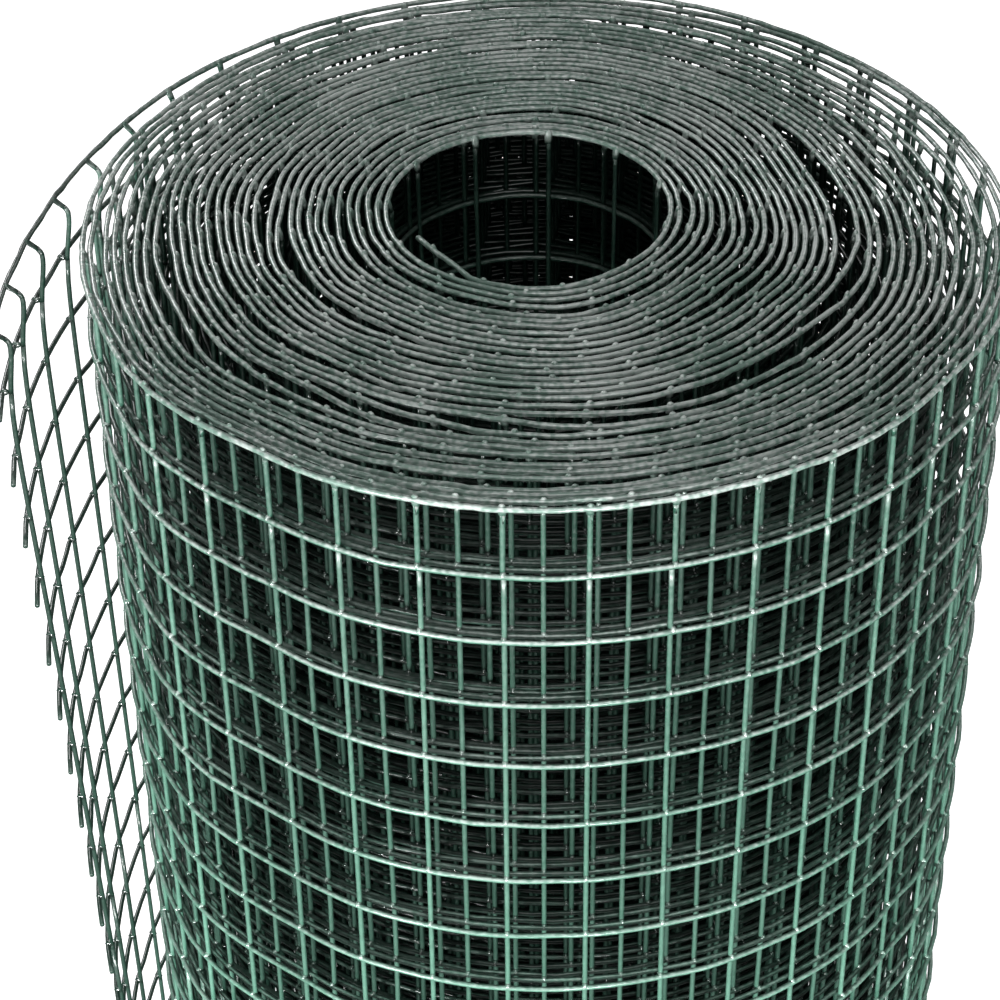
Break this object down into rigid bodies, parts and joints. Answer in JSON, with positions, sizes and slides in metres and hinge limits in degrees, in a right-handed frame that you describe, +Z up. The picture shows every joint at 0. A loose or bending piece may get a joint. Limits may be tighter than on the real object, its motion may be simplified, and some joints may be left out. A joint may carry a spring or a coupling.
{
  "type": "roll of welded wire mesh fencing",
  "caption": "Roll of square welded wire mesh fencing with a green plastic coat, wound round an open bore and standing on its end, with its outer end sprung loose.",
  "frame": {"origin": "on the axis of the bore, at the bottom end that the roll stands on", "axes": "+Z up along the bore, -Y towards the front, -X towards the side where the outer end is loose"},
  "size_m": [0.3311, 0.308, 0.995],
  "materials": {
    "coated_wire": "dark green PVC coat on steel wire, glossy"
  },
  "bodies": {
    "root": {"mesh_roll": "coated_wire"}
  },
  "joints": []
}
